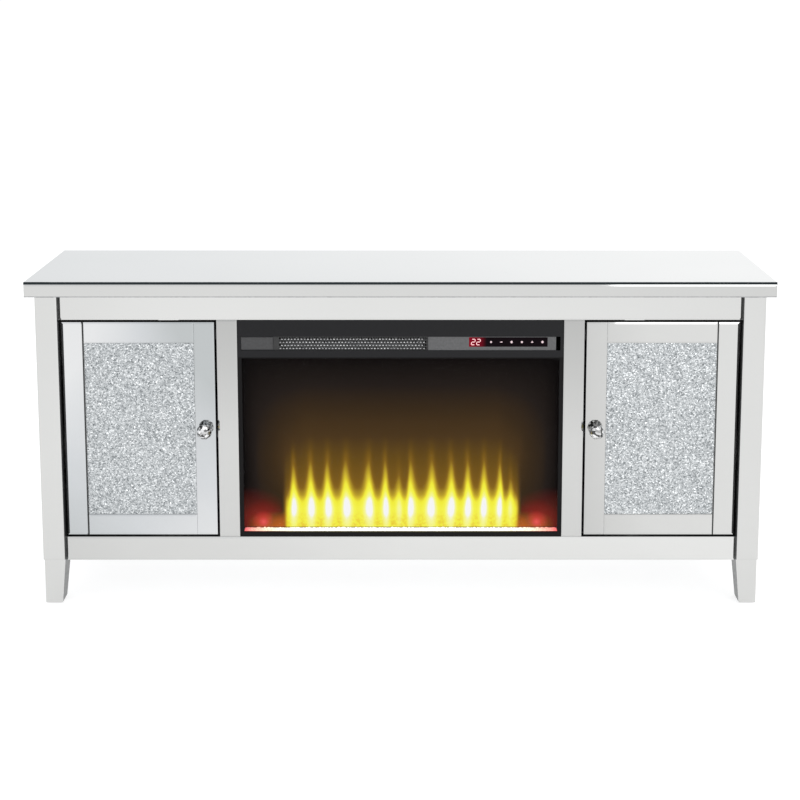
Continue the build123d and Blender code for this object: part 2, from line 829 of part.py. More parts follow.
with BuildPart() as led_strip:
    with BuildSketch(level(floor_z)):
        led_y = screen_back + led_board_width
        span(-window_half, window_half, led_y - led_board_width / 2, led_y + led_board_width / 2)
    extrude(amount=led_board_thickness)
    with BuildSketch(level(floor_z + led_board_thickness)):
        with Locations((0, led_y)):
            with GridLocations(blade_pitch, 0, int(2 * window_half / blade_pitch) - 1, 1):
                Rectangle(led_board_width / 2, led_board_width / 2)
    extrude(amount=led_board_thickness)
save("led_strip", led_strip)

# ---- Insert: fan heater above the deck ----
deck_top = deck_z + sheet
impeller_y = casing_back - impeller_set
impeller_z = deck_z + impeller_lift
impeller_start = field_middle - impeller_length / 2
impeller_end = impeller_start + impeller_length
housing_inner = impeller_radius + housing_gap
housing_outer = housing_inner + housing_wall
blower_journal = housing_side_gap + housing_wall
with BuildPart() as blower_impeller:
    with BuildSketch(side_plane(impeller_start)):
        with Locations((impeller_y, impeller_z)):
            with PolarLocations(impeller_radius - impeller_blade_depth / 2, impeller_blades):
                Rectangle(impeller_blade_depth, blade_thickness, rotation=impeller_blade_angle)
    extrude(amount=impeller_length)
    for disc_x in (impeller_start, field_middle - blade_thickness, impeller_end - 2 * blade_thickness):
        with BuildSketch(side_plane(disc_x)):
            with Locations((impeller_y, impeller_z)):
                Circle(impeller_radius)
        extrude(amount=2 * blade_thickness)
    with BuildSketch(side_plane(impeller_start - blower_journal)):
        with Locations((impeller_y, impeller_z)):
            Circle(journal_radius)
    extrude(amount=impeller_length + 2 * blower_journal + bearing_length)
save("blower_impeller", blower_impeller)

heater_back = impeller_y - housing_outer - heater_set
with BuildPart() as blower_housing:
    with BuildSketch(side_plane(impeller_start - housing_side_gap)):
        with Locations((impeller_y, impeller_z)):
            Circle(housing_outer)
            Circle(housing_inner, mode=Mode.SUBTRACT)
        span(impeller_y - housing_outer, impeller_y, impeller_z - housing_inner, impeller_z + housing_outer,
             mode=Mode.SUBTRACT)
        span(impeller_y, impeller_y + housing_outer, impeller_z + housing_inner / 2,
             impeller_z + housing_outer, mode=Mode.SUBTRACT)
        span(heater_back, impeller_y, impeller_z - housing_outer, impeller_z - housing_inner)
    extrude(amount=impeller_length + 2 * housing_side_gap)
    for end_x in (impeller_start - housing_side_gap - housing_wall, impeller_end + housing_side_gap):
        with BuildSketch(side_plane(end_x)):
            span(impeller_y - housing_outer, impeller_y + housing_outer, deck_top, impeller_z + housing_outer)
            with Locations((impeller_y, impeller_z)):
                Circle(journal_radius + running_fit, mode=Mode.SUBTRACT)
        extrude(amount=housing_wall)
save("blower_housing", blower_housing)

motor_start = impeller_end + blower_journal + bezel_gap
with BuildPart() as blower_motor:
    with BuildSketch(side_plane(motor_start)):
        with Locations((impeller_y, impeller_z)):
            Circle(blower_motor_radius)
        span(impeller_y - blower_motor_radius / 2, impeller_y + blower_motor_radius / 2, deck_top, impeller_z)
        with Locations((impeller_y, impeller_z)):
            Circle(journal_radius + running_fit, mode=Mode.SUBTRACT)
    extrude(amount=blower_motor_length)
save("blower_motor", blower_motor)

with BuildPart() as heater_element:
    with BuildSketch(front_plane(heater_back - bezel_gap)):
        span(impeller_start, impeller_end, deck_top, deck_top + heater_height)
        with Locations((field_middle, deck_top + heater_height / 2)):
            with GridLocations(impeller_length / heater_slots, 0, heater_slots - 1, 1):
                Rectangle(heater_slot_width, heater_height - heater_thickness, mode=Mode.SUBTRACT)
    extrude(amount=heater_thickness)
save("heater_element", heater_element)

# ---- Insert: mains rocker, cord gland, screws ----
cover_face = casing_back + sheet
rocker_pivot_y = cover_face - rocker_wall
with BuildPart() as rocker_body:
    with BuildSketch(front_plane(cover_face + rocker_flange)):
        with Locations((rocker_x, rocker_z)):
            Rectangle(2 * (rocker_hole_x + rocker_flange_lip), 2 * (rocker_hole_z + rocker_flange_lip))
    extrude(amount=rocker_flange)
    with BuildSketch(front_plane(cover_face)):
        with Locations((rocker_x, rocker_z)):
            Rectangle(2 * rocker_hole_x, 2 * rocker_hole_z)
    extrude(amount=rocker_depth)
    with BuildSketch(front_plane(cover_face + rocker_flange)):
        with Locations((rocker_x, rocker_z)):
            Rectangle(2 * (rocker_hole_x - rocker_wall), 2 * (rocker_hole_z - rocker_wall))
    extrude(amount=rocker_depth + rocker_flange - rocker_wall, mode=Mode.SUBTRACT)
    with BuildSketch(side_plane(rocker_x - rocker_hole_x)):
        with Locations((rocker_pivot_y, rocker_z)):
            Circle(rocker_wall + running_fit)
    extrude(amount=2 * rocker_hole_x, mode=Mode.SUBTRACT)
save("rocker_body", rocker_body)

with BuildPart() as rocker:
    with BuildSketch(side_plane(rocker_x - rocker_half_width)):
        with Locations(Location((rocker_pivot_y, rocker_z), rocker_throw)):
            Polygon((-rocker_sink, -rocker_half_height), (rocker_rise, -rocker_half_height),
                    (rocker_waist, 0), (rocker_rise, rocker_half_height),
                    (-rocker_sink, rocker_half_height), align=None)
    extrude(amount=2 * rocker_half_width)
    pin_end = rocker_hole_x - rocker_clear_x
    with BuildSketch(side_plane(rocker_x - pin_end)):
        with Locations((rocker_pivot_y, rocker_z)):
            Circle(rocker_wall)
    extrude(amount=2 * pin_end)
save("rocker", rocker)

with BuildPart() as cord_gland:
    with BuildSketch(front_plane(cover_face + gland_length)):
        with Locations((gland_x, gland_z)):
            Circle(gland_radius)
            Circle(gland_bore - rocker_wall, mode=Mode.SUBTRACT)
    extrude(amount=gland_length)
save("cord_gland", cord_gland)

with BuildPart() as cover_screws:
    with BuildSketch(front_plane(cover_face + screw_head_height)):
        screw_edge = 2 * screw_head_radius
        screw_x = casing_half - screw_edge
        for screw_level in (casing_bottom + screw_edge, deck_z, casing_top - screw_edge):
            with Locations((-screw_x, screw_level), (screw_x, screw_level)):
                Circle(screw_head_radius)
    extrude(amount=screw_head_height)
save("cover_screws", cover_screws)

print(f"door pivots: x +/-{pivot_x}, y {pivot_y}")
print(f"flame spindle axis: y {spindle_y}, z {spindle_z}")
print(f"blower axis: y {impeller_y}, z {impeller_z}")
print(f"rocker pivot: x {rocker_x}, y {rocker_pivot_y}, z {rocker_z}")
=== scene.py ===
import json
import math
import random

import bmesh
import bpy
from mathutils import Matrix, Vector


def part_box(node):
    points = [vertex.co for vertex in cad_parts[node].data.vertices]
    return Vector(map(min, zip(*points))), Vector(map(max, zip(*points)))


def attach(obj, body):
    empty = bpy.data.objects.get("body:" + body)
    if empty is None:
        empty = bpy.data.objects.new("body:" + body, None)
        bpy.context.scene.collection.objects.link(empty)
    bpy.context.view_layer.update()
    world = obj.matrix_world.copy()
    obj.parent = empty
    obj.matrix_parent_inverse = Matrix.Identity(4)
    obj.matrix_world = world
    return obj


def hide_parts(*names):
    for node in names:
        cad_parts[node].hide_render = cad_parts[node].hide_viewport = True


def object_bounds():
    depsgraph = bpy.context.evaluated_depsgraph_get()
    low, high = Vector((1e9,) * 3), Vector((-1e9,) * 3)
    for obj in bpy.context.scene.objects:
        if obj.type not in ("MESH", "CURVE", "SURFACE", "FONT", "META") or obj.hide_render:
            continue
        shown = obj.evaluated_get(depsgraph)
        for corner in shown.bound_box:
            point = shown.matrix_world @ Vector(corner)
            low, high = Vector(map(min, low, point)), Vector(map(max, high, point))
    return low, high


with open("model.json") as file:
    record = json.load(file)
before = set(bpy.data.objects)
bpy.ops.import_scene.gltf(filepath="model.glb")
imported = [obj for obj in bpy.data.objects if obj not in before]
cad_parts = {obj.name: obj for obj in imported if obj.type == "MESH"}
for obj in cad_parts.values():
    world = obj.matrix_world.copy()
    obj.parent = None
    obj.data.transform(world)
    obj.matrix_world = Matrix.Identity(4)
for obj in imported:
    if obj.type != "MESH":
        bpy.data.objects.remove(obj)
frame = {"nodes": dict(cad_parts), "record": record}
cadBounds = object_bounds()
nodes = frame["nodes"]
scene = bpy.context.scene
scene.view_settings.view_transform = "Standard"
print("frame loaded:", len(nodes), "nodes")

# camera, three and a half metres in front and a little above the top
cameraView = {
    "place": (0.0229, -3.5297, 1.269),
    "pitch": 9.21,  # degrees below the horizon
    "lens": 76.5,
    "sensor": 36,
    "shift": (-0.0148, -0.18),
}
cameraData = bpy.data.cameras.new("viewCamera")
cameraData.lens = cameraView["lens"]
cameraData.sensor_width = cameraView["sensor"]
cameraData.shift_x, cameraData.shift_y = cameraView["shift"]
camera = bpy.data.objects.new("viewCamera", cameraData)
camera.location = cameraView["place"]
camera.rotation_euler = (math.radians(90 - cameraView["pitch"]), 0, 0)
scene.collection.objects.link(camera)
scene.camera = camera

# how screen values turn into linear ones
screenCurve = {"knee": 0.04045, "slope": 12.92, "lift": 0.055, "power": 2.4}


def srgb(red, green, blue):
    def linear(value):
        value /= 255
        if value <= screenCurve["knee"]:
            return value / screenCurve["slope"]
        return ((value + screenCurve["lift"]) / (1 + screenCurve["lift"])) ** screenCurve["power"]
    return (linear(red), linear(green), linear(blue), 1.0)


def grey(value):
    return (value, value, value, 1.0)


# the span of a noise that a ramp uses, and its middle
noiseEnds = {"tone": (0.3, 0.7), "wear": (0.35, 0.65)}
noiseMiddle = 0.5


class Finish:
    # a material with a Principled shader and short calls for the nodes around it

    def __init__(self, name, **sockets):
        self.material = bpy.data.materials.new(name)
        self.material.use_nodes = True
        self.tree = self.material.node_tree
        self.shader = self.tree.nodes["Principled BSDF"]
        self.coords = self.tree.nodes.new("ShaderNodeTexCoord").outputs["Object"]
        for socket, value in sockets.items():
            self.shader.inputs[socket.replace("_", " ")].default_value = value

    def wire(self, source, socket):
        self.tree.links.new(source, self.shader.inputs[socket])
        return self

    def node(self, kind, **settings):
        made = self.tree.nodes.new("ShaderNode" + kind)
        for key, value in settings.items():
            setattr(made, key, value)
        return made

    def feed(self, target, value):
        if isinstance(value, (int, float, tuple)):
            target.default_value = value
        else:
            self.tree.links.new(value, target)

    def maths(self, operation, first, second=0.0, clamp=False):
        made = self.node("Math", operation=operation, use_clamp=clamp)
        self.feed(made.inputs[0], first)
        self.feed(made.inputs[1], second)
        return made.outputs[0]

    def share(self, value, low, high):
        # where a value stands between low and high, 0 to 1
        return self.maths("DIVIDE", self.maths("SUBTRACT", value, low), high - low)

    def ramp(self, source, stops, interpolation="LINEAR"):
        made = self.node("ValToRGB")
        self.tree.links.new(source, made.inputs[0])
        band = made.color_ramp
        band.interpolation = interpolation
        while len(band.elements) > 1:
            band.elements.remove(band.elements[-1])
        for number, (place, colour) in enumerate(stops):
            stop = band.elements[0] if number == 0 else band.elements.new(place)
            stop.position = place
            stop.color = colour if isinstance(colour, tuple) else grey(colour)
        return made.outputs["Color"]

    def mix(self, share, first, second, blend="MIX"):
        made = self.node("Mix", data_type="RGBA", blend_type=blend)
        # sockets 6 and 7 take the colours, output 2 gives one
        self.feed(made.inputs[0], share)
        self.feed(made.inputs[6], first)
        self.feed(made.inputs[7], second)
        return made.outputs[2]

    def noise(self, scale, detail=3.0, stretch=(1, 1, 1)):
        place = self.node("Mapping")
        place.inputs["Scale"].default_value = stretch
        self.tree.links.new(self.coords, place.inputs["Vector"])
        made = self.node("TexNoise")
        made.inputs["Scale"].default_value = scale
        made.inputs["Detail"].default_value = detail
        self.tree.links.new(place.outputs[0], made.inputs["Vector"])
        return made.outputs["Fac"]

    def cells(self, scale, **settings):
        made = self.node("TexVoronoi", **settings)
        made.inputs["Scale"].default_value = scale
        self.tree.links.new(self.coords, made.inputs["Vector"])
        return made.outputs

    def cellShades(self, scale):
        # three random channels, each even over one cell
        split = self.node("SeparateColor")
        self.tree.links.new(self.cells(scale)["Color"], split.inputs[0])
        return split.outputs

    def axes(self):
        made = self.node("SeparateXYZ")
        self.tree.links.new(self.coords, made.inputs[0])
        return made.outputs

    def sideways(self, stops):
        # a ramp along x over the whole object; stops are (x, colour)
        low, high = cadBounds[0].x, cadBounds[1].x
        across = self.share(self.axes()[0], low, high)
        return self.ramp(across, [((x - low) / (high - low), colour) for x, colour in stops])

    def bump(self, height, strength, distance):
        made = self.node("Bump")
        made.inputs["Strength"].default_value = strength
        made.inputs["Distance"].default_value = distance
        self.tree.links.new(height, made.inputs["Height"])
        return self.wire(made.outputs[0], "Normal")

    def mottled(self, scale, dark, light, detail=3.0, stretch=(1, 1, 1)):
        low, high = noiseEnds["tone"]
        tone = self.ramp(self.noise(scale, detail, stretch), [(low, dark), (high, light)])
        return self.wire(tone, "Base Color")

    def worn(self, scale, smooth, rough, detail=4.0):
        low, high = noiseEnds["wear"]
        wear = self.ramp(self.noise(scale, detail), [(low, smooth), (high, rough)])
        return self.wire(wear, "Roughness")


# silvered glass, whose tone drifts a little from place to place: painted reflection along x under a
# random cloud; tones are (x, grey)
mirrorLook = {
    "warmth": (0.998, 1.0, 0.985),
    "cloudScale": 2.2, "cloud": (0.965, 1.0),
    "wear": (30, 0.02, 0.06),
    "rippleScale": 9, "rippleDetail": 1.0, "ripple": (0.04, 0.002),
    "plain": [(-0.71, 0.60), (-0.55, 0.635), (0.0, 0.64), (0.55, 0.605), (0.71, 0.59)],
    "topEdge": [(-0.72, 0.575), (0.0, 0.575), (0.72, 0.535)],
    "rightDoor": [(0.38, 0.50), (0.42, 0.525), (0.50, 0.575), (0.68, 0.59)],
}


def mirrorGlass(name, tones):
    finish = Finish(name, Metallic=1.0)
    warmth = mirrorLook["warmth"]
    low, high = noiseEnds["tone"]
    dull, bright = mirrorLook["cloud"]
    # painted reflection: the grey changes along x
    tint = finish.sideways([(x, tuple(share * tone for share in warmth) + (1,)) for x, tone in tones])
    cloud = finish.ramp(finish.noise(mirrorLook["cloudScale"]), [(low, dull), (high, bright)])
    finish.wire(finish.mix(1.0, tint, cloud, "MULTIPLY"), "Base Color")
    finish.worn(*mirrorLook["wear"])
    ripple = finish.noise(mirrorLook["rippleScale"], mirrorLook["rippleDetail"])
    finish.bump(ripple, *mirrorLook["ripple"])
    return finish


# the centre stiles stand in the shade of the doors, the bottom rail brightens to the right
frameShade = {
    "reach": 0.001,  # past the stiles' outer edges
    "trim": 0.0003,  # short of their ends
    "stiles": [(0.0, 0.885), (0.45, 0.875), (0.8, 0.73), (1.0, 0.67)],
    "bottomRail": [(-0.71, 0.895), (-0.4, 0.95), (0.0, 1.04), (0.6, 1.09), (0.71, 1.09)],
}


def frameMirrorGlass():
    low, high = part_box("centre_stiles")
    finish = mirrorGlass("frameMirrorGlass", mirrorLook["plain"])
    x, _, z = finish.axes()
    between = finish.maths("LESS_THAN", finish.maths("ABSOLUTE", x), high.x + frameShade["reach"])
    above = finish.maths("GREATER_THAN", z, low.z + frameShade["trim"])
    under = finish.maths("LESS_THAN", z, high.z - frameShade["trim"])
    onStile = finish.maths("MULTIPLY", finish.maths("MULTIPLY", between, above), under)
    shade = finish.ramp(finish.share(z, low.z, high.z), frameShade["stiles"])
    plain = finish.shader.inputs["Base Color"].links[0].from_socket
    stile = finish.mix(1.0, plain, shade, "MULTIPLY")
    bottom = finish.mix(1.0, plain, finish.sideways(frameShade["bottomRail"]), "MULTIPLY")
    onBottom = finish.maths("LESS_THAN", z, low.z)
    finish.wire(finish.mix(onBottom, finish.mix(onStile, plain, stile), bottom), "Base Color")
    return finish.material


# the left door's glass is cooler, with painted reflection and shade that change slowly from corner to
# corner
paintedReflectionLeftDoor = {
    "diagonal": 0.5, "middle": 0.5, "sideways": 0.18,
    "driftScale": 4.5, "drift": 0.4,
    "tones": [(0.1, (0.655, 0.66, 0.665, 1)), (0.5, (0.545, 0.56, 0.575, 1)),
              (0.9, (0.435, 0.455, 0.46, 1))],
}


def leftDoorPaintedReflectionGlass(node):
    low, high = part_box(node)
    middle, half = (low + high) / 2, (high - low) / 2
    finish = Finish("leftDoorPaintedReflectionGlass", Metallic=1.0)
    x, _, z = finish.axes()
    across = finish.maths("DIVIDE", finish.maths("SUBTRACT", x, middle.x), half.x)
    upwards = finish.maths("DIVIDE", finish.maths("SUBTRACT", z, middle.z), half.z)
    # painted reflection and shade: a slope across the door, set askew by a little noise
    turn = finish.maths("MULTIPLY", finish.maths("MULTIPLY", across, upwards), paintedReflectionLeftDoor["diagonal"])
    turn = finish.maths("ADD", turn, paintedReflectionLeftDoor["middle"])
    turn = finish.maths("ADD", turn, finish.maths("MULTIPLY", across, paintedReflectionLeftDoor["sideways"]))
    cloud = finish.maths("SUBTRACT", finish.noise(paintedReflectionLeftDoor["driftScale"]), noiseMiddle)
    drift = finish.maths("MULTIPLY", cloud, paintedReflectionLeftDoor["drift"])
    finish.wire(finish.ramp(finish.maths("ADD", turn, drift), paintedReflectionLeftDoor["tones"]), "Base Color")
    return finish.worn(*mirrorLook["wear"]).material


# painted reflection brightens the table top to the right, and the sheet's edge is dark
tableGlass = {
    "cloudScale": 1.6,
    "tones": [(0.3, (0.53, 0.54, 0.535, 1)), (0.7, (0.57, 0.575, 0.57, 1))],
    "drift": [(-0.75, 0.955), (0.0, 1.02), (0.6, 1.06), (0.75, 1.065)],
    "edgeTone": srgb(40, 46, 48),
    "edgeDrop": 0.0001,
}


def topMirrorGlass():
    finish = Finish("topMirrorGlass", Metallic=1.0)
    tint = finish.ramp(finish.noise(tableGlass["cloudScale"]), tableGlass["tones"])
    # painted reflection: brighter to the right along x
    tint = finish.mix(1.0, tint, finish.sideways(tableGlass["drift"]), "MULTIPLY")
    topHeight = cadBounds[1].z - tableGlass["edgeDrop"]
    edge = finish.maths("LESS_THAN", finish.axes()[2], topHeight)
    finish.wire(finish.mix(edge, tint, tableGlass["edgeTone"]), "Base Color")
    return finish.worn(*mirrorLook["wear"]).material


# lacquer and boards: tone is (scale, dark, light, detail, stretch), wear is (scale, smooth, rough),
# grain is (scale, detail) and relief is (strength, depth)
boardLooks = {
    "silverLacquer": {"metallic": 0.35,
                      "tone": (520, (0.55, 0.56, 0.565, 1), (0.60, 0.61, 0.615, 1), 6),
                      "wear": (60, 0.30, 0.42), "grain": (600, 2.0), "relief": (0.08, 0.0004)},
    "cabinetBoard": {"metallic": 0.0,
                     "tone": (6, (0.46, 0.47, 0.48, 1), (0.54, 0.55, 0.555, 1), 3, (1, 14, 14)),
                     "wear": (80, 0.45, 0.6), "grain": (300, 4.0), "relief": (0.1, 0.0003)},
    "hardboard": {"metallic": 0.0,
                  "tone": (500, (0.30, 0.29, 0.275, 1), (0.42, 0.41, 0.39, 1), 8),
                  "wear": (50, 0.7, 0.85), "grain": (900, 5.0), "relief": (0.25, 0.0004)},
}


def board(name):
    look = boardLooks[name]
    finish = Finish(name, Metallic=look["metallic"])
    finish.mottled(*look["tone"])
    finish.worn(*look["wear"])
    return finish.bump(finish.noise(*look["grain"]), *look["relief"]).material


# broken crystal on the door panels, clear crystal on the knobs
crystalLook = {
    "crushedCell": 430,
    "crushedTones": [(0.0, (0.21, 0.225, 0.235, 1)), (0.35, (0.42, 0.44, 0.45, 1)),
                     (0.8, (0.55, 0.57, 0.58, 1)), (1.0, (0.84, 0.86, 0.87, 1))],
    "crushedGloss": [(0.0, 0.08), (1.0, 0.34)],
    "clearCell": 190,
    "clearTones": [(0.0, 0.02), (0.3, 0.10), (0.5, 0.55), (0.75, 0.9), (1.0, 1.0)],
    "clearMetallic": [(0.0, 0.2), (1.0, 0.9)],
    "clearWear": (90, 0.01, 0.05),
}


def crushedCrystal():
    finish = Finish("crushedCrystal", Metallic=0.85)
    shades = finish.cellShades(crystalLook["crushedCell"])
    finish.wire(finish.ramp(shades[0], crystalLook["crushedTones"]), "Base Color")
    return finish.wire(finish.ramp(shades[1], crystalLook["crushedGloss"]), "Roughness").material


def clearCrystal():
    finish = Finish("clearCrystal", IOR=1.6, Transmission_Weight=0.35)
    shades = finish.cellShades(crystalLook["clearCell"])
    finish.wire(finish.ramp(shades[0], crystalLook["clearTones"]), "Base Color")
    finish.wire(finish.ramp(shades[1], crystalLook["clearMetallic"]), "Metallic")
    return finish.worn(*crystalLook["clearWear"]).material


# tone, wear and grain are shares of a finish's own scale
brushed = {"wear": 0.5, "grain": 2, "detail": 2.0, "relief": (0.05, 0.0002)}
cast = {"tone": 0.25, "wear": 0.125, "detail": 3.0, "relief": (0.12, 0.0003)}


def metal(name, dark, light, smooth, rough, scale=180):
    finish = Finish(name, Metallic=1.0)
    finish.mottled(scale, dark, light)
    finish.worn(scale * brushed["wear"], smooth, rough)
    grain = finish.noise(scale * brushed["grain"], brushed["detail"])
    return finish.bump(grain, *brushed["relief"]).material


def moulded(name, dark, light, smooth, rough, grain=900):
    finish = Finish(name)
    finish.mottled(grain * cast["tone"], dark, light)
    finish.worn(grain * cast["wear"], smooth, rough)
    return finish.bump(finish.noise(grain, cast["detail"]), *cast["relief"]).material


# black steel of the insert, darker below the top of the front glass
bezelLook = {
    "toneScale": 420, "toneDetail": 3.0, "toneStretch": (1, 1, 9),
    "tones": [(0.3, (0.0105, 0.0105, 0.0115, 1)), (0.7, (0.017, 0.017, 0.0185, 1))],
    "lowTone": (0.0048, 0.0045, 0.0047, 1),
    "wear": (60, 0.34, 0.46),
    "grain": (700, 2.0, (1, 1, 6)), "relief": (0.06, 0.0002),
}


def bezelSteel():
    look = bezelLook
    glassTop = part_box("front_glass")[1].z
    finish = Finish("bezelSteel", Specular_IOR_Level=0.12)
    streaks = finish.noise(look["toneScale"], look["toneDetail"], look["toneStretch"])
    base = finish.ramp(streaks, look["tones"])
    below = finish.maths("LESS_THAN", finish.axes()[2], glassTop)
    finish.wire(finish.mix(below, base, look["lowTone"]), "Base Color")
    finish.worn(*look["wear"])
    return finish.bump(finish.noise(*look["grain"]), *look["relief"]).material


boardTracks = {"cell": 220, "wear": (200, 0.3, 0.5),
               "tones": [(0.03, (0.30, 0.33, 0.12, 1)), (0.08, (0.01, 0.09, 0.04, 1))]}


def circuitBoard():
    finish = Finish("circuitBoard")
    tracks = finish.cells(boardTracks["cell"], feature="DISTANCE_TO_EDGE")
    finish.wire(finish.ramp(tracks[0], boardTracks["tones"]), "Base Color")
    return finish.worn(*boardTracks["wear"]).material


smokeLook = {"tone": (3, (0.004, 0.004, 0.005, 1), (0.010, 0.009, 0.009, 1)),
             "wear": (12, 0.03, 0.08)}


def smokedGlass():
    finish = Finish("smokedGlass", Alpha=0.12, Specular_IOR_Level=0.03)
    finish.mottled(*smokeLook["tone"])
    return finish.worn(*smokeLook["wear"]).material


# the window is lit red round the digits; halo stops are metres from its left end
windowLook = {
    "tone": (60, (0.001, 0.001, 0.001, 1), (0.003, 0.002, 0.003, 1)),
    "wear": (40, 0.05, 0.12),
    "halo": [(0.0, srgb(132, 4, 28)), (0.021, srgb(112, 4, 24)), (0.036, srgb(9, 2, 5))],
}


def displayWindow():
    finish = Finish("displayWindow", Specular_IOR_Level=0.03, Emission_Strength=1.0)
    finish.mottled(*windowLook["tone"])
    finish.worn(*windowLook["wear"])
    away = finish.maths("SUBTRACT", finish.axes()[0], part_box("display_window")[0].x)
    return finish.wire(finish.ramp(away, windowLook["halo"], "EASE"), "Emission Color").material


lampLook = {"base": 0.1, "scale": 300, "dim": 0.82, "ends": (0.3, 0.6)}


def glowing(name, colour, strength):
    finish = Finish(name, Base_Color=grey(lampLook["base"]), Roughness=0.4,
                    Emission_Strength=strength)
    low, high = lampLook["ends"]
    dimmer = tuple(lampLook["dim"] * channel for channel in colour[:3]) + (1,)
    glow = finish.ramp(finish.noise(lampLook["scale"]), [(low, dimmer), (high, colour)])
    return finish.wire(glow, "Emission Color").material


# white-hot along the middle, cream and then pink towards the two ends
emberLook = {
    "base": 0.2, "strength": 1.9,
    "heat": [(0.0, srgb(226, 96, 100)), (0.03, srgb(246, 158, 140)), (0.09, srgb(255, 232, 200)),
             (0.2, srgb(255, 248, 240)), (0.8, srgb(255, 248, 240)), (0.91, srgb(255, 230, 200)),
             (0.97, srgb(246, 158, 140)), (1.0, srgb(226, 96, 100))],
    "chipScale": 260, "chipDetail": 2.0, "chips": [(0.35, 0.62), (0.6, 1.0)],
}


def emberGlow():
    look = emberLook
    low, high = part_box("ember_crystals")
    finish = Finish("emberGlow", Base_Color=grey(look["base"]), Roughness=0.35,
                    Emission_Strength=look["strength"])
    heat = finish.ramp(finish.share(finish.axes()[0], low.x, high.x), look["heat"])
    chips = finish.ramp(finish.noise(look["chipScale"], look["chipDetail"]), look["chips"])
    return finish.wire(finish.mix(1.0, heat, chips, "MULTIPLY"), "Emission Color").material


# the flames thrown on the screen: a row of tongues along x, fading upwards into a brown glow.
# heights in "rows", "pinch" and "embers" are shares of their reach above the tray
flameLook = {
    "centres": (-0.2222, -0.1867, -0.1522, -0.1131, -0.0647, -0.0318, -0.0041,
                0.0185, 0.0631, 0.1044, 0.1379, 0.1712, 0.2059, 0.2280),
    "small": (-0.0041, 0.2280),
    "smallPeak": 0.72,
    "valley": 0.24,
    "edge": 0.017,
    "strength": 1.18,
    "base": 0.003,
    "heightScale": 2.5,
    "swayScale": 7, "swayDetail": 2.0, "sway": 0.012,
    "pinch": [(0.0, 0.10), (0.09, 0.17), (0.14, 0.20), (0.22, 0.26), (0.35, 0.5)],
    "pinchPower": 10.0,
    "rows": {
        "glow": [(0.0, 0.20), (0.125, 0.22), (0.26, 0.26), (0.385, 0.27), (0.51, 0.235),
                 (0.63, 0.18), (0.755, 0.10), (0.88, 0.02), (1.0, 0.0)],
        "fill": [(0.0, 0.42), (0.10, 0.44), (0.135, 0.38), (0.17, 0.24), (0.21, 0.15),
                 (0.26, 0.10), (0.385, 0.03), (0.5, 0.0)],
        "tongue": [(0.0, 0.20), (0.05, 0.30), (0.075, 0.41), (0.11, 0.45), (0.15, 0.45),
                   (0.18, 0.38), (0.20, 0.32), (0.26, 0.22), (0.33, 0.12), (0.42, 0.03), (0.5, 0.0)],
    },
    "broad": [(0.0, 0.0), (0.05, 0.5), (0.12, 0.8), (0.20, 1.0), (0.80, 1.0), (0.88, 0.8),
              (0.95, 0.5), (1.0, 0.0)],
    "fillReach": (0.018, 0.04),  # full and nothing, past the end tongues
    "colours": [(0.0, srgb(7, 5, 5)), (0.10, srgb(33, 26, 22)), (0.18, srgb(56, 41, 23)),
                (0.25, srgb(76, 55, 27)), (0.32, srgb(106, 78, 24)), (0.40, srgb(134, 98, 28)),
                (0.48, srgb(182, 152, 42)), (0.56, srgb(222, 196, 50)), (0.64, srgb(250, 244, 62)),
                (0.76, srgb(255, 254, 90)), (0.90, srgb(255, 255, 170)), (0.98, grey(1.0))],
    "patchScale": 150, "patchDetail": 2.0, "patches": [(0.42, 0.95), (0.6, 0.42)],
    "emberScale": 10.0, "embers": [(0.0, 0.9), (0.15, 0.6), (0.34, 0.0)],
    "emberTone": srgb(226, 118, 40),
    "redCorners": (-0.285, 0.282),
    "redLift": 0.010,
    "redReach": 0.085,
    "redTones": [(0.0, srgb(240, 96, 90)), (0.13, srgb(190, 58, 50)), (0.30, srgb(122, 36, 28)),
                 (0.6, srgb(72, 26, 20)), (1.0, grey(0.0))],
}


def tongueStops(places, span):
    # peaks at the flames' places with a valley between each two
    edge = flameLook["edge"] / span
    stops = [(places[0] - edge, 0.0)]
    for number, place in enumerate(places):
        small = flameLook["centres"][number] in flameLook["small"]
        stops.append((place, flameLook["smallPeak"] if small else 1.0))
        if number < len(places) - 1:
            stops.append(((place + places[number + 1]) / 2, flameLook["valley"]))
    return stops + [(places[-1] + edge, 0.0)]


def redGlow(finish, x, rise, corner):
    # a round red light low in one corner of the screen
    offX = finish.maths("SUBTRACT", x, corner)
    offZ = finish.maths("SUBTRACT", rise, flameLook["redLift"])
    squares = [finish.maths("POWER", finish.maths("ABSOLUTE", off), 2.0) for off in (offX, offZ)]
    away = finish.maths("SQRT", finish.maths("ADD", *squares))
    reach = finish.maths("DIVIDE", away, flameLook["redReach"])
    return finish.ramp(reach, flameLook["redTones"])


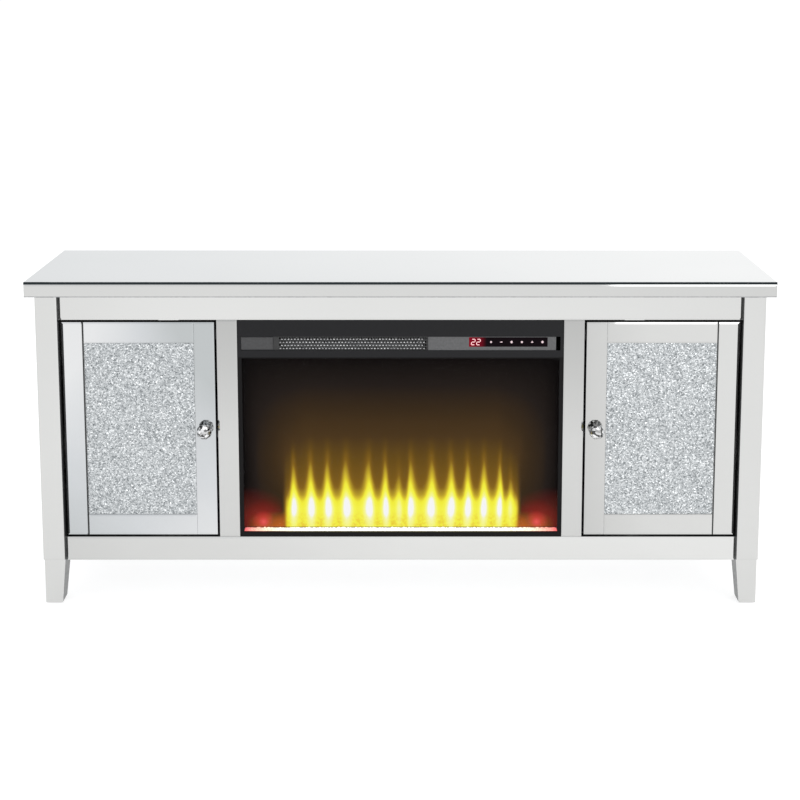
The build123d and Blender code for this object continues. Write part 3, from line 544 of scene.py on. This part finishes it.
def flameImage():
    look = flameLook
    low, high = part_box("flame_screen")
    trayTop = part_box("ember_tray")[1].z
    span = high.x - low.x
    finish = Finish("flameImage", Base_Color=grey(look["base"]), Roughness=0.5,
                    Specular_IOR_Level=0.0, Emission_Strength=look["strength"])
    x, _, z = finish.axes()
    rise = finish.maths("SUBTRACT", z, trayTop)
    tall = finish.maths("MULTIPLY", rise, look["heightScale"])
    wave = finish.noise(look["swayScale"], look["swayDetail"])
    wave = finish.maths("SUBTRACT", wave, noiseMiddle)
    swayed = finish.maths("ADD", x, finish.maths("MULTIPLY", wave, look["sway"]))
    across = finish.share(swayed, low.x, high.x)
    places = [(centre - low.x) / span for centre in look["centres"]]
    row = finish.ramp(across, tongueStops(places, span), "EASE")
    pinch = finish.maths("MULTIPLY", finish.ramp(tall, look["pinch"]), look["pinchPower"])
    tongues = finish.maths("POWER", row, pinch)
    rows = {name: finish.ramp(tall, stops) for name, stops in look["rows"].items()}
    broad = finish.ramp(across, look["broad"])
    near, far = look["fillReach"]
    inside = finish.ramp(across, [(places[0] - far, 0.0), (places[0] - near, 1.0),
                                  (places[-1] + near, 1.0), (places[-1] + far, 0.0)], "EASE")
    heat = finish.maths("ADD", finish.maths("MULTIPLY", rows["glow"], broad),
                        finish.maths("MULTIPLY", rows["fill"], inside))
    heat = finish.maths("ADD", heat, finish.maths("MULTIPLY", tongues, rows["tongue"]))
    colour = finish.ramp(heat, look["colours"])
    patches = finish.ramp(finish.noise(look["patchScale"], look["patchDetail"]), look["patches"])
    outside = finish.maths("SUBTRACT", 1.0, finish.maths("MULTIPLY", inside, patches), True)
    gaps = finish.maths("MULTIPLY", finish.maths("SUBTRACT", 1.0, row, True), outside)
    close = finish.ramp(finish.maths("MULTIPLY", rise, look["emberScale"]), look["embers"])
    embers = finish.maths("MULTIPLY", finish.maths("MULTIPLY", gaps, close), broad)
    colour = finish.mix(embers, colour, look["emberTone"])
    for corner in look["redCorners"]:
        colour = finish.mix(1.0, colour, redGlow(finish, x, rise, corner), "LIGHTEN")
    return finish.wire(colour, "Emission Color").material


paints = {
    "mirror": mirrorGlass("mirrorGlass", mirrorLook["plain"]).material,
    "silver_lacquer": board("silverLacquer"),
    "cabinet_board": board("cabinetBoard"),
    "back_board": board("hardboard"),
    "crushed_crystal": crushedCrystal(),
    "clear_crystal": clearCrystal(),
    "chrome": metal("chrome", (0.60, 0.60, 0.62, 1), (0.75, 0.75, 0.76, 1), 0.03, 0.09),
    "hinge_steel": metal("hingeSteel", (0.42, 0.42, 0.43, 1), (0.60, 0.60, 0.61, 1), 0.22, 0.38),
    "zinc_steel": metal("zincSteel", (0.38, 0.40, 0.42, 1), (0.58, 0.60, 0.62, 1), 0.3, 0.45, 60),
    "drive_aluminium": metal("driveAluminium", (0.55, 0.56, 0.57, 1), (0.78, 0.78, 0.79, 1),
                             0.15, 0.3),
    "motor_steel": metal("motorSteel", (0.25, 0.25, 0.26, 1), (0.42, 0.42, 0.43, 1), 0.3, 0.45),
    "nylon": moulded("nylon", (0.16, 0.16, 0.165, 1), (0.22, 0.22, 0.225, 1), 0.4, 0.55),
    "black_steel": moulded("blackSteel", (0.012, 0.012, 0.0125, 1), (0.020, 0.020, 0.021, 1),
                           0.38, 0.5, 1500),
    "control_plastic": moulded("controlPlastic", (0.07, 0.07, 0.072, 1), (0.095, 0.095, 0.098, 1),
                               0.3, 0.42),
    "rocker_plastic": moulded("rockerPlastic", (0.006, 0.006, 0.006, 1), (0.012, 0.012, 0.012, 1),
                              0.15, 0.25),
    "display_gloss": displayWindow(),
    "circuit_board": circuitBoard(),
    "front_glass": smokedGlass(),
    "flame_screen": flameImage(),
    "ember_crystal": emberGlow(),
}
for part in frame["record"]["subparts"]:
    piece = nodes[part["node"]]
    piece.data.materials.clear()
    piece.data.materials.append(paints[part["material_slot"]])

# finishes for single nodes, which differ from their slot's
legPaint = metal("legPaint", (0.125, 0.13, 0.13, 1), (0.15, 0.155, 0.155, 1), 0.3, 0.42, 420)
knobChrome = metal("knobChrome", (0.10, 0.10, 0.105, 1), (0.30, 0.30, 0.31, 1), 0.04, 0.10)
trayBlack = moulded("trayBlack", (0.010, 0.009, 0.010, 1), (0.018, 0.016, 0.018, 1), 0.4, 0.5)
ownPaints = {
    "top_mirror": topMirrorGlass(),
    "top_edge_mirrors": mirrorGlass("topEdgeMirror", mirrorLook["topEdge"]).material,
    "frame_mirrors": frameMirrorGlass(),
    "left_door_mirrors": leftDoorPaintedReflectionGlass("left_door_mirrors"),
    "right_door_mirrors": mirrorGlass("rightDoorMirror", mirrorLook["rightDoor"]).material,
    "insert_bezel": bezelSteel(),
    "front_legs": legPaint,
    "rear_legs": legPaint,
    "left_knob_base": knobChrome,
    "right_knob_base": knobChrome,
    "ember_tray": trayBlack,
    "cord_gland": trayBlack,
    "rocker_body": trayBlack,
}
for name, paint in ownPaints.items():
    nodes[name].data.materials[0] = paint
print("finishes done:", len(paints) + len(ownPaints))


def finishPiece(mesh, name, body, material, standsFor=()):
    data = bpy.data.meshes.new(name)
    mesh.to_mesh(data)
    mesh.free()
    data.materials.append(material)
    piece = bpy.data.objects.new(name, data)
    scene.collection.objects.link(piece)
    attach(piece, body)
    if standsFor:
        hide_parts(*standsFor)
    return piece


def addBlock(mesh, low, high):
    made = bmesh.ops.create_cube(mesh, size=1.0)["verts"]
    middle = (Vector(low) + Vector(high)) / 2
    size = Vector(high) - Vector(low)
    bmesh.ops.scale(mesh, verts=made, vec=size)
    bmesh.ops.translate(mesh, verts=made, vec=middle)
    return made


def faceForward(mesh, verts):
    # a shape made flat in x and y is stood up to face the front
    quarter = Matrix.Rotation(math.radians(90), 3, "X")
    bmesh.ops.rotate(mesh, verts=verts, cent=(0, 0, 0), matrix=quarter)


# thin black strips round the doors and posts: painted shade in the gaps, partly the dark edges of the
# glass and the cores
paintedShadeLines = {
    "skin": 0.0003,
    "glass": 0.004,  # the mirror strips' thickness
    "panelGap": 0.001,  # between a crystal panel and its strips
    "set": 0.0002,  # behind the mirrors' face
    "deep": 0.0012,
    "stileLine": {"left": 0.0036, "right": 0.0022},
    # height of the painted shadow line under the top's front edge
    "underTopShadow": 0.0011,
}


# black skins on the posts' inner sides and round the door openings: painted shade, partly the dark
# glass edges
def makeFrameGapShade(material):
    skin, sunk = paintedShadeLines["skin"], paintedShadeLines["set"]
    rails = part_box("front_rails")
    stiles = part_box("centre_stiles")
    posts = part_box("leg_mirrors")
    glassFace = rails[0].y - paintedShadeLines["glass"]
    ends = rails[1].x
    mesh = bmesh.new()
    for side in (-1, 1):
        def skinBlock(xs, ys, zs):
            low, high = sorted(side * x for x in xs)
            addBlock(mesh, (low, ys[0], zs[0]), (high, ys[1], zs[1]))
        skinBlock((ends - skin, ends), (posts[0].y + sunk, glassFace - sunk), (posts[0].z, rails[1].z))
        skinBlock((ends - skin, ends), (glassFace, rails[1].y), (stiles[0].z, stiles[1].z))
        skinBlock((stiles[1].x, stiles[1].x + skin), (rails[0].y, rails[1].y),
                  (stiles[0].z, stiles[1].z))
        for z in (stiles[0].z, stiles[1].z - skin):
            skinBlock((stiles[1].x + skin, ends - skin), (rails[0].y, rails[1].y), (z, z + skin))
    return finishPiece(mesh, "frameGapShadeLines", "cabinet", material)


# a thin dark strip along the bottom of the top's front edge: painted shadow of the overhang
def makeTopShadowLine():
    low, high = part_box("top_edge_mirrors")
    mesh = bmesh.new()
    addBlock(mesh, (low.x, low.y + paintedShadeLines["set"], low.z),
             (high.x, low.y + paintedShadeLines["deep"], low.z + paintedShadeLines["underTopShadow"]))
    return finishPiece(mesh, "topShadowLine", "cabinet", paints["motor_steel"])


# black skins on the door's edges: painted shade in the gap round the door
def makeDoorGapShade(side, outwards, material):
    skin = paintedShadeLines["skin"]
    low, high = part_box(side + "_door_panel")
    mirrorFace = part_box(side + "_door_mirrors")[0].y
    mesh = bmesh.new()
    addBlock(mesh, (low.x - skin, low.y, low.z - skin), (low.x, high.y, high.z + skin))
    addBlock(mesh, (high.x, low.y, low.z - skin), (high.x + skin, high.y, high.z + skin))
    addBlock(mesh, (low.x, low.y, low.z - skin), (high.x, high.y, low.z))
    addBlock(mesh, (low.x, low.y, high.z), (high.x, high.y, high.z + skin))
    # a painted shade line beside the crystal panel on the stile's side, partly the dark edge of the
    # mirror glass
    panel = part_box(side + "_crystal_panel")
    panelEdge = panel[1].x if outwards > 0 else panel[0].x
    start = panelEdge + outwards * paintedShadeLines["panelGap"]
    edges = sorted((start, start + outwards * paintedShadeLines["stileLine"][side]))
    addBlock(mesh, (edges[0], mirrorFace + paintedShadeLines["set"], low.z),
             (edges[1], mirrorFace + paintedShadeLines["deep"], high.z))
    return finishPiece(mesh, side + "DoorGapShadeLines", side + "_door", material)


# black for the painted shade in the gaps
gapShadeBlack = moulded("gapShadeBlack", (0.008, 0.009, 0.009, 1), (0.014, 0.015, 0.015, 1), 0.35, 0.5)
makeFrameGapShade(gapShadeBlack)
makeTopShadowLine()
for side, outwards in (("left", -1), ("right", 1)):
    makeDoorGapShade(side, outwards, gapShadeBlack)
print("joint lines done")

# small loose shapes, shared by the crystal panels and the ember bed
tumble = {"length": (0.6, 1), "tilt": 0.5}


def scatter(mesh, template, places):
    # copies of one small shape, each with its own matrix
    for place in places:
        copy = template.copy()
        copy.transform(place)
        mesh.from_mesh(copy)
        bpy.data.meshes.remove(copy)


def smallStone(name):
    stone = bmesh.new()
    bmesh.ops.create_icosphere(stone, subdivisions=1, radius=1.0)
    data = bpy.data.meshes.new(name)
    stone.to_mesh(data)
    stone.free()
    return data


def tumbled(rng, size, flat):
    length, tilt = tumble["length"], tumble["tilt"]
    squash = Matrix.Diagonal((size * rng.uniform(*length), size * rng.uniform(*flat),
                              size * rng.uniform(*length)))
    spin = Matrix.Rotation(rng.uniform(0, math.tau), 3, "Y")
    turn = spin @ Matrix.Rotation(rng.uniform(-tilt, tilt), 3, "X")
    return (turn @ squash).to_4x4()


# crushed crystal panels: a broken relief with loose stones set in it
crystalBed = {
    "grain": 0.0031,
    "backing": 0.0008,
    "wander": 0.42,  # sideways, as a share of the grain
    "dip": 0.4, "peak": 0.9,  # as shares of the relief
    "stones": 1800, "stoneSize": 0.0017, "stoneSizes": (0.6, 1.0), "stoneFlat": (0.4, 0.7),
    "seat": 0.75,  # how far a stone's middle stands behind the face, in its own size
    "seed": 11,
}


def makeCrystalRelief(mesh, low, high, rng):
    bed = crystalBed
    width, tall = high.x - low.x, high.z - low.z
    relief = high.y - low.y - bed["backing"]
    grid = bmesh.ops.create_grid(mesh, x_segments=int(width / bed["grain"]),
                                 y_segments=int(tall / bed["grain"]), size=0.5)["verts"]
    bmesh.ops.scale(mesh, verts=grid, vec=(width, tall, 1))
    faceForward(mesh, grid)
    middle = (low + high) / 2
    bmesh.ops.translate(mesh, verts=grid, vec=(middle.x, low.y + relief / 2, middle.z))
    jitter, dip = bed["grain"] * bed["wander"], bed["dip"]
    for vertex in mesh.verts:
        if not vertex.is_boundary:
            vertex.co += Vector((rng.uniform(-jitter, jitter), rng.uniform(-dip, dip) * relief,
                                 rng.uniform(-jitter, jitter)))
    for vertex in bmesh.ops.poke(mesh, faces=mesh.faces[:])["verts"]:
        vertex.co.y = low.y + rng.uniform(0.0, bed["peak"]) * relief
    bmesh.ops.recalc_face_normals(mesh, faces=mesh.faces)
    backs = bmesh.ops.extrude_face_region(mesh, geom=mesh.faces[:])["geom"]
    for vertex in [item for item in backs if isinstance(item, bmesh.types.BMVert)]:
        vertex.co.y = high.y


def makeCrystalBed(side):
    bed = crystalBed
    node = side + "_crystal_panel"
    low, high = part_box(node)
    rng = random.Random(bed["seed"] + len(side))
    mesh = bmesh.new()
    makeCrystalRelief(mesh, low, high, rng)
    places = []
    for _ in range(bed["stones"]):
        size = bed["stoneSize"] * rng.uniform(*bed["stoneSizes"])
        spot = (rng.uniform(low.x + size, high.x - size), low.y + size * bed["seat"],
                rng.uniform(low.z + size, high.z - size))
        places.append(Matrix.Translation(spot) @ tumbled(rng, size, bed["stoneFlat"]))
    scatter(mesh, smallStone("crystalStone"), places)
    bmesh.ops.recalc_face_normals(mesh, faces=mesh.faces)
    return finishPiece(mesh, side + "CrystalBed", side + "_door",
                       paints["crushed_crystal"], [node])


for side in ("left", "right"):
    makeCrystalBed(side)
print("crystal beds done")

# faceted knob crystals; rings are (share of the depth from the back, share of the radius)
knobCut = {
    "facets": 10,
    "rings": ((0.0, 0.46), (0.16, 0.80), (0.36, 1.0), (0.50, 1.0), (0.74, 0.84), (0.93, 0.60)),
    "tip": 0.07,
}


def bridgeRings(mesh, first, second):
    # joins two rings along their own edges
    edges = {edge for vertex in first + second for edge in vertex.link_edges
             if edge.is_wire or edge.is_boundary}
    rims = [edge for edge in edges
            if all(v in first for v in edge.verts) or all(v in second for v in edge.verts)]
    bmesh.ops.bridge_loops(mesh, edges=rims)


def makeKnobCrystal(side):
    node = side + "_knob_crystal"
    low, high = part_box(node)
    middle, deep, radius = (low + high) / 2, high.y - low.y, (high.z - low.z) / 2
    mesh = bmesh.new()
    rings = []
    for number, (share, size) in enumerate(knobCut["rings"]):
        ring = bmesh.ops.create_circle(mesh, segments=knobCut["facets"], radius=radius * size)["verts"]
        turn = Matrix.Rotation(math.pi / knobCut["facets"] * (number % 2), 3, "Y")
        faceForward(mesh, ring)
        bmesh.ops.rotate(mesh, verts=ring, cent=(0, 0, 0), matrix=turn)
        bmesh.ops.translate(mesh, verts=ring, vec=(middle.x, high.y - share * deep, middle.z))
        rings.append(ring)
    for first, second in zip(rings, rings[1:]):
        bridgeRings(mesh, first, second)
    bmesh.ops.contextual_create(mesh, geom=rings[0])
    cap = bmesh.ops.contextual_create(mesh, geom=rings[-1])["faces"]
    tip = bmesh.ops.poke(mesh, faces=cap)["verts"]
    bmesh.ops.translate(mesh, verts=tip, vec=(0, -knobCut["tip"] * deep, 0))
    bmesh.ops.triangulate(mesh, faces=mesh.faces)
    bmesh.ops.recalc_face_normals(mesh, faces=mesh.faces)
    return finishPiece(mesh, side + "KnobCrystal", side + "_door",
                       paints["clear_crystal"], [node])


for side in ("left", "right"):
    makeKnobCrystal(side)
print("knobs done")

# ember crystals: loose chips on a bed
emberBed = {
    "chips": 1100, "size": 0.0046, "sizes": (0.5, 1.0), "flat": (0.6, 0.9),
    "seat": (0.25, 0.6),  # how far a chip's middle stands under the top, in its own size
    "bed": 0.0012,
    "seed": 5,
}


def makeEmberBed():
    low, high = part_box("ember_crystals")
    rng = random.Random(emberBed["seed"])
    mesh = bmesh.new()
    addBlock(mesh, low, (high.x, high.y, high.z - emberBed["bed"]))
    places = []
    for _ in range(emberBed["chips"]):
        size = emberBed["size"] * rng.uniform(*emberBed["sizes"])
        spot = (rng.uniform(low.x + size, high.x - size), rng.uniform(low.y + size, high.y - size),
                high.z - size * rng.uniform(*emberBed["seat"]))
        turn = Matrix.Rotation(rng.uniform(0, math.tau), 4, "Z")
        places.append(Matrix.Translation(spot) @ turn @ tumbled(rng, size, emberBed["flat"]))
    scatter(mesh, smallStone("emberStone"), places)
    bmesh.ops.recalc_face_normals(mesh, faces=mesh.faces)
    return finishPiece(mesh, "emberBed", "cabinet", paints["ember_crystal"],
                       ["ember_crystals"])


makeEmberBed()
print("ember bed done")

# louvre tabs on the outlet grille, every other row set half a pitch aside
grilleTabs = {
    "pitch": 0.0066,
    "tab": (0.0030, 0.0012, 0.0015),  # wide, deep, tall
    "lean": 0.8,  # how far the tabs' upper edge is set back, as a share of the depth
    "rows": 4,
    "fieldStart": 0.077,
    "fieldLength": 0.300,
    "edge": 0.0055,
    "drop": 0.0018,
}


def makeGrilleTabs(material):
    tabs = grilleTabs
    low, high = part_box("outlet_grille")
    mesh = bmesh.new()
    rowPitch = (high.z - low.z - 2 * tabs["edge"]) / tabs["rows"]
    wide, deep, tall = tabs["tab"]
    for row in range(tabs["rows"]):
        z = low.z + tabs["edge"] + (row + 0.5) * rowPitch - tabs["drop"]
        shift = 0.5 * (row % 2)
        for number in range(int(tabs["fieldLength"] / tabs["pitch"] - shift)):
            x = low.x + tabs["fieldStart"] + (number + 0.5 + shift) * tabs["pitch"]
            tab = addBlock(mesh, (x - wide / 2, low.y - deep, z),
                           (x + wide / 2, low.y + deep, z + tall))
            lip = [vertex for vertex in tab if vertex.co.y < low.y and vertex.co.z > z + tall / 2]
            bmesh.ops.translate(mesh, verts=lip, vec=(0, deep * tabs["lean"], 0))
    return finishPiece(mesh, "grilleTabs", "cabinet", material)


# blank plate at the grille's left end, a little dished
blankPlate = {
    "width": 0.066,
    "rim": 0.0018,
    "start": 0.001,
    "set": 0.0009,  # behind the bezel's face
    "lap": 0.0052,  # short of the grille above and below
    "dish": 0.0013,
    "softEdge": 0.0003,
    "longEdge": 0.004,  # edges over this length are softened
}


def makeBlankPlate(material):
    plate = blankPlate
    low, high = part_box("outlet_grille")
    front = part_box("insert_bezel")[0].y
    mesh = bmesh.new()
    addBlock(mesh, (low.x + plate["start"], front + plate["set"], low.z + plate["lap"]),
             (low.x + plate["width"], low.y, high.z - plate["lap"]))
    face = min(mesh.faces, key=lambda item: item.calc_center_median().y)
    bmesh.ops.inset_region(mesh, faces=[face], thickness=plate["rim"])
    bmesh.ops.translate(mesh, verts=list(face.verts), vec=(0, plate["dish"], 0))
    longEdges = [edge for edge in mesh.edges if edge.calc_length() > plate["longEdge"]]
    bmesh.ops.bevel(mesh, geom=longEdges, offset=plate["softEdge"], segments=2, profile=0.5,
                    affect="EDGES", material=-1)
    return finishPiece(mesh, "blankPlate", "cabinet", material)


satinTabs = metal("satinTabs", (0.24, 0.24, 0.25, 1), (0.80, 0.80, 0.80, 1), 0.35, 0.5, 130)
blankPlastic = moulded("blankPlastic", (0.030, 0.030, 0.031, 1), (0.044, 0.044, 0.046, 1),
                       0.3, 0.42)
makeGrilleTabs(satinTabs)
makeBlankPlate(blankPlastic)
print("grille done")

# display digits and touch symbols
displayMarks = {
    "shown": "22",
    "digitTall": 0.0115, "digitWide": 0.0068,
    "digitStart": 0.0045, "digitPitch": 0.0105,
    "stroke": 0.0014,
    "lean": 0.12,
    "proud": 0.0003,
    "softEdge": 0.00015,
    "symbolStart": 0.0445, "symbolPitch": 0.0208, "symbolSize": 0.0026,
    # number of sides, size, and (wide, tall) for each symbol
    "symbols": ((8, 0.8, (1, 1)), (4, 1.0, (1.2, 0.5)), (4, 1.15, (1, 1)),
                (6, 0.9, (1, 1)), (3, 1.1, (1, 1)), (4, 1.15, (1, 1))),
}
# each bar of a digit: column, level, and whether it lies flat
segments = {"top": (0, 1, True), "middle": (0, 0.5, True), "bottom": (0, 0, True),
            "upperRight": (1, 0.5, False), "lowerLeft": (0, 0, False)}
digitSegments = {"2": ("top", "upperRight", "middle", "lowerLeft", "bottom")}


def addSegment(mesh, startX, baseZ, front, name):
    marks = displayMarks
    column, level, flat = segments[name]
    x = startX + column * marks["digitWide"]
    z = baseZ + level * marks["digitTall"]
    half = marks["stroke"] / 2
    if flat:
        low, high = (x + half, z - half), (x + marks["digitWide"] - half, z + half)
    else:
        low, high = (x - half, z + half), (x + half, z + marks["digitTall"] / 2 - half)
    bar = addBlock(mesh, (low[0], front - marks["proud"], low[1]),
                   (high[0], front + marks["proud"], high[1]))
    for vertex in bar:
        vertex.co.x += (vertex.co.z - baseZ) * marks["lean"]


def makeDigits(material):
    marks = displayMarks
    low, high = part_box("display_window")
    mesh = bmesh.new()
    baseZ = (low.z + high.z - marks["digitTall"]) / 2
    for number, digit in enumerate(marks["shown"]):
        startX = low.x + marks["digitStart"] + number * marks["digitPitch"]
        for name in digitSegments[digit]:
            addSegment(mesh, startX, baseZ, low.y, name)
    bmesh.ops.bevel(mesh, geom=mesh.edges[:], offset=marks["softEdge"], segments=1, profile=0.5,
                    affect="EDGES", material=-1)
    return finishPiece(mesh, "displayDigits", "cabinet", material)


def makeSymbols(material):
    marks = displayMarks
    low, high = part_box("display_window")
    mesh = bmesh.new()
    for number, (sides, scale, squash) in enumerate(marks["symbols"]):
        radius = marks["symbolSize"] * scale
        x = low.x + marks["symbolStart"] + number * marks["symbolPitch"]
        dot = bmesh.ops.create_cone(mesh, cap_ends=True, segments=sides, radius1=radius,
                                    radius2=radius, depth=2 * marks["proud"])["verts"]
        faceForward(mesh, dot)
        bmesh.ops.scale(mesh, verts=dot, vec=(squash[0], 1, squash[1]))
        bmesh.ops.translate(mesh, verts=dot, vec=(x, low.y, (low.z + high.z) / 2))
    return finishPiece(mesh, "touchSymbols", "cabinet", material)


makeDigits(glowing("digitGlow", srgb(255, 196, 200), 1.5))
makeSymbols(glowing("symbolGlow", srgb(235, 205, 212), 0.9))
print("display done")

# pale floor, a sky a little darker on the left, and two soft lights
studio = {
    "floorReach": 30.0, "floorSides": 64,
    "floorGlow": 0.74, "floorTone": (14, grey(0.37), grey(0.38)),
    "skyTurn": 0.35,  # how far to each side the sky changes
    "skyLeft": (0.77, 0.785, 0.80, 1), "skyRight": (1.0, 1.0, 1.0, 1), "skyStrength": 1.28,
    # place, aim, size, power
    "lights": {"overheadSoftbox": ((0.3, -0.6, 3.4), (0, 0, 0.3), (3.0, 2.0), 22),
               "frontFill": ((1.8, -3.6, 2.2), (0, 0, 0.3), (2.0, 1.6), 18)},
}


def makeFloor():
    mesh = bmesh.new()
    bmesh.ops.create_circle(mesh, cap_ends=True, segments=studio["floorSides"],
                            radius=studio["floorReach"])
    data = bpy.data.meshes.new("studioFloor")
    mesh.to_mesh(data)
    mesh.free()
    floor = bpy.data.objects.new("studioFloor", data)
    scene.collection.objects.link(floor)
    paint = Finish("floorPaint", Roughness=0.9, Specular_IOR_Level=0.1,
                   Emission_Color=grey(1.0), Emission_Strength=studio["floorGlow"])
    data.materials.append(paint.mottled(*studio["floorTone"]).material)


def makeSky():
    world = bpy.data.worlds.new("studioSky")
    world.use_nodes = True
    scene.world = world
    tree = world.node_tree
    coords = tree.nodes.new("ShaderNodeTexCoord")
    axes = tree.nodes.new("ShaderNodeSeparateXYZ")
    span = tree.nodes.new("ShaderNodeMapRange")
    ramp = tree.nodes.new("ShaderNodeValToRGB")
    span.inputs["From Min"].default_value = -studio["skyTurn"]
    span.inputs["From Max"].default_value = studio["skyTurn"]
    ramp.color_ramp.elements[0].color = studio["skyLeft"]
    ramp.color_ramp.elements[1].color = studio["skyRight"]
    backdrop = tree.nodes["Background"]
    backdrop.inputs["Strength"].default_value = studio["skyStrength"]
    tree.links.new(coords.outputs["Generated"], axes.inputs[0])
    tree.links.new(axes.outputs[0], span.inputs["Value"])
    tree.links.new(span.outputs[0], ramp.inputs[0])
    tree.links.new(ramp.outputs[0], backdrop.inputs["Color"])


def softLight(name, place, aim, size, power):
    data = bpy.data.lights.new(name, "AREA")
    data.shape = "RECTANGLE"
    data.size, data.size_y = size
    data.energy = power
    lamp = bpy.data.objects.new(name, data)
    lamp.location = place
    lamp.rotation_euler = (Vector(aim) - Vector(place)).to_track_quat("-Z", "Y").to_euler()
    scene.collection.objects.link(lamp)


makeFloor()
makeSky()
for name, light in studio["lights"].items():
    softLight(name, *light)
print("studio done")
